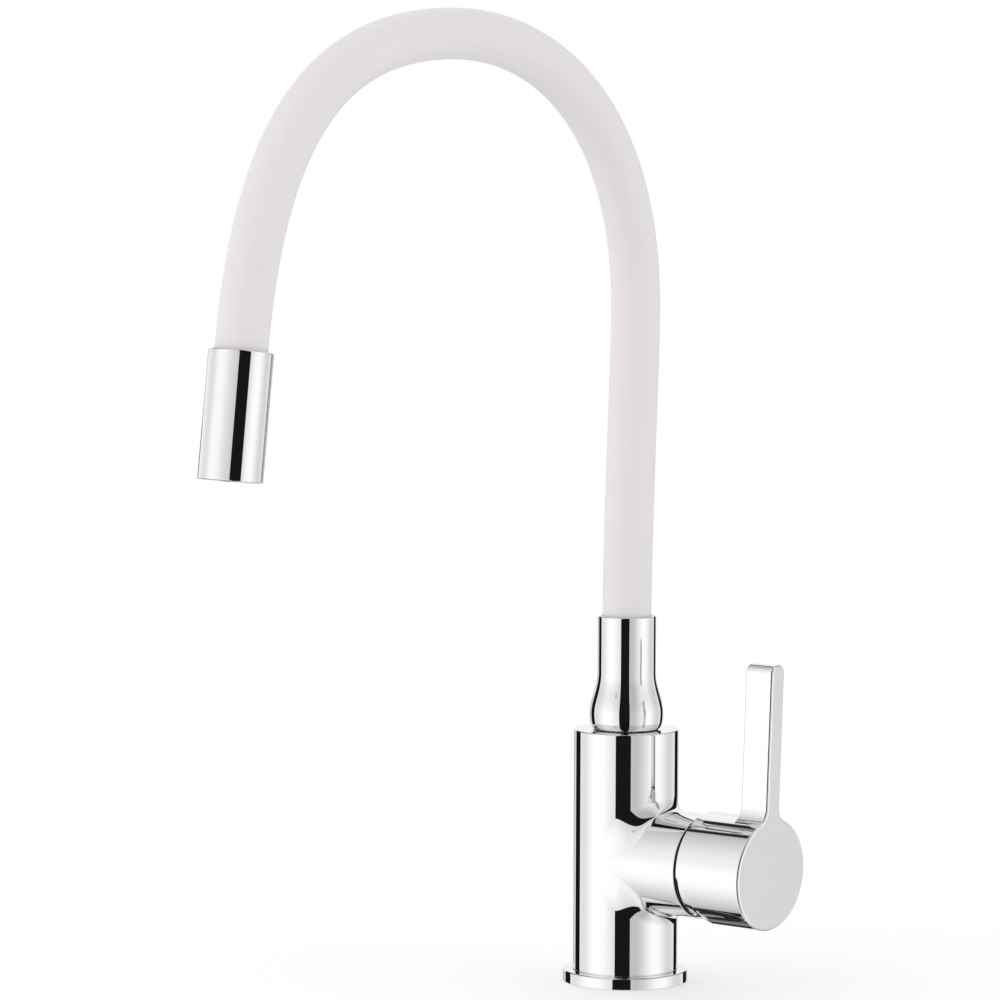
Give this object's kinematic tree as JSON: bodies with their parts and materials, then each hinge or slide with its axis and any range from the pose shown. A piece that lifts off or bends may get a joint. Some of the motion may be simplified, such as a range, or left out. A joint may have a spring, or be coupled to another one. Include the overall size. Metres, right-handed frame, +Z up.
{
  "type": "flexible kitchen faucet",
  "caption": "Kitchen mixer faucet with a turned metal column, a side cap with an upright lever, and a flexible sleeved spout that arches over to a round outlet.",
  "frame": {"origin": "centre of the column's underside, on the top of the worktop", "axes": "+Z up along the column, +X along the arm towards the handle, -Y towards the outlet of the spout"},
  "size_m": [0.1005, 0.2732, 0.4408],
  "materials": {
    "chrome": "polished",
    "white_silicone": "matte",
    "black_rubber": "matte",
    "steel": "satin",
    "brass": "satin",
    "white_plastic": "satin",
    "grey_plastic": "satin",
    "ceramic": "polished",
    "tube_plastic": "satin"
  },
  "bodies": {
    "faucet_body": {"body": "chrome", "base_ring": "chrome", "base_gasket": "black_rubber", "mounting_stud": "steel", "horseshoe_gasket": "black_rubber", "horseshoe_washer": "steel", "stud_nut": "steel", "cartridge_base": "grey_plastic", "hot_port_seal": "black_rubber", "cold_port_seal": "black_rubber", "mixed_port_seal": "black_rubber", "cartridge_housing": "white_plastic", "fixed_ceramic_disc": "ceramic", "cartridge_nut": "brass", "trim_dome": "chrome", "swivel_bush": "white_plastic", "spout_retaining_screw": "steel"},
    "rotor": {"cartridge_rotor": "white_plastic", "pivot_pin": "steel"},
    "handle_lever": {"handle": "chrome", "lever_stem": "steel", "handle_grub_screw": "steel", "screw_plug": "grey_plastic"},
    "disc": {"disc_carrier": "grey_plastic", "moving_ceramic_disc": "ceramic"},
    "spout_neck": {"neck": "chrome", "upper_swivel_seal": "black_rubber", "lower_swivel_seal": "black_rubber", "lower_ferrule": "brass"},
    "spout_arch": {"hose_sleeve": "white_silicone", "flex_core": "steel", "water_tube": "tube_plastic"},
    "outlet": {"upper_ferrule": "brass", "outlet_sleeve": "chrome", "aerator_washer": "black_rubber", "aerator_housing": "chrome", "aerator_insert": "white_plastic"}
  },
  "joints": [
    {"name": "spout_swivel", "type": "hinge", "parent": "faucet_body", "child": "spout_neck", "pos_m": [0, 0, 0.1022], "axis": [0, 0, 1], "continuous": true},
    {"name": "spout_lean", "type": "hinge", "parent": "spout_neck", "child": "spout_arch", "pos_m": [0, 0.00225, 0.21411], "axis": [1, 0, 0], "range_deg": [-20, 20], "deforming": ["hose_sleeve", "flex_core", "water_tube"]},
    {"name": "spout_bend", "type": "hinge", "parent": "spout_arch", "child": "outlet", "pos_m": [0, -0.109, 0.379], "axis": [1, 0, 0], "range_deg": [-40, 35], "deforming": ["hose_sleeve", "flex_core", "water_tube"]},
    {"name": "handle_turn", "type": "hinge", "parent": "faucet_body", "child": "rotor", "pos_m": [0.0405, 0, 0.0498], "axis": [1, 0, 0], "range_deg": [-50, 50]},
    {"name": "handle_lift", "type": "hinge", "parent": "rotor", "child": "handle_lever", "pos_m": [0.0405, 0, 0.0498], "axis": [0, 1, 0], "range_deg": [0, 22]},
    {"name": "disc_slide", "type": "slide", "parent": "rotor", "child": "disc", "axis": [0, 0, 1], "range_m": [0, 0.0057]}
  ],
  "couplings": [
    {"joint": "disc_slide", "follows": "handle_lift", "m_per_rad": 0.0145}
  ]
}
